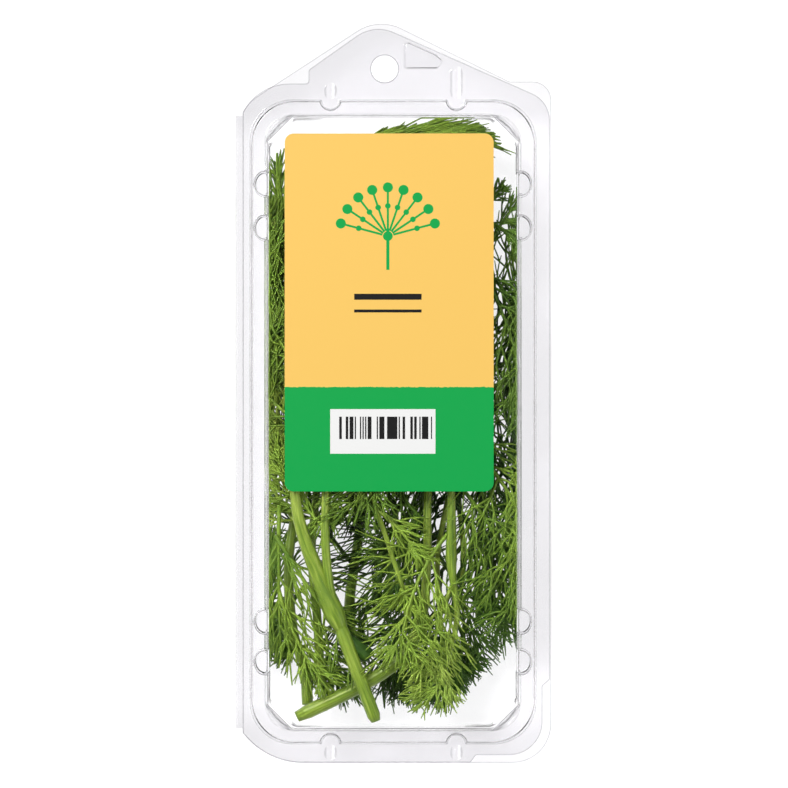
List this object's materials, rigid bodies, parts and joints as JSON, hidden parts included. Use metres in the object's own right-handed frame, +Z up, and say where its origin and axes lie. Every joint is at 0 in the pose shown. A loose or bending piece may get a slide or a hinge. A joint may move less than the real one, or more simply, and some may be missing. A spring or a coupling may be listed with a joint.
{
  "type": "fresh dill bunch in a hinged clear pack",
  "caption": "Bunch of fresh dill sprigs lying in a clear hinged plastic herb pack with a hang tab and a plain two-tone label on its lid.",
  "frame": {"origin": "middle of the whole pack's footprint, on the surface that it lies on", "axes": "+Z up through the label, +Y along the pack to the hang tab, +X to the opening side, away from the hinge"},
  "size_m": [0.0852, 0.1996, 0.0248],
  "materials": {
    "clear_plastic": "clear glossy thermoformed sheet",
    "label_paper": "smooth two-tone adhesive label, satin",
    "dill_front": "fresh bright green leaf threads and yellow-green stems, waxy satin",
    "dill_back": "fresh dark green leaf threads and stems, waxy satin"
  },
  "bodies": {
    "tray": {"tray": "clear_plastic", "sprig_front_left": "dill_front", "sprig_front_middle": "dill_front", "sprig_front_right": "dill_front", "sprig_crossing": "dill_front", "sprig_middle_left": "dill_back", "sprig_rear_left": "dill_back", "sprig_rear_right": "dill_back", "sprig_back_left": "dill_back", "sprig_back_right": "dill_back"},
    "lid": {"lid": "clear_plastic", "label": "label_paper"}
  },
  "joints": [
    {"name": "lid_hinge", "type": "hinge", "parent": "tray", "child": "lid", "pos_m": [-0.04185, 0, 0.0125], "axis": [0, -1, 0], "range_deg": [0, 180]}
  ]
}
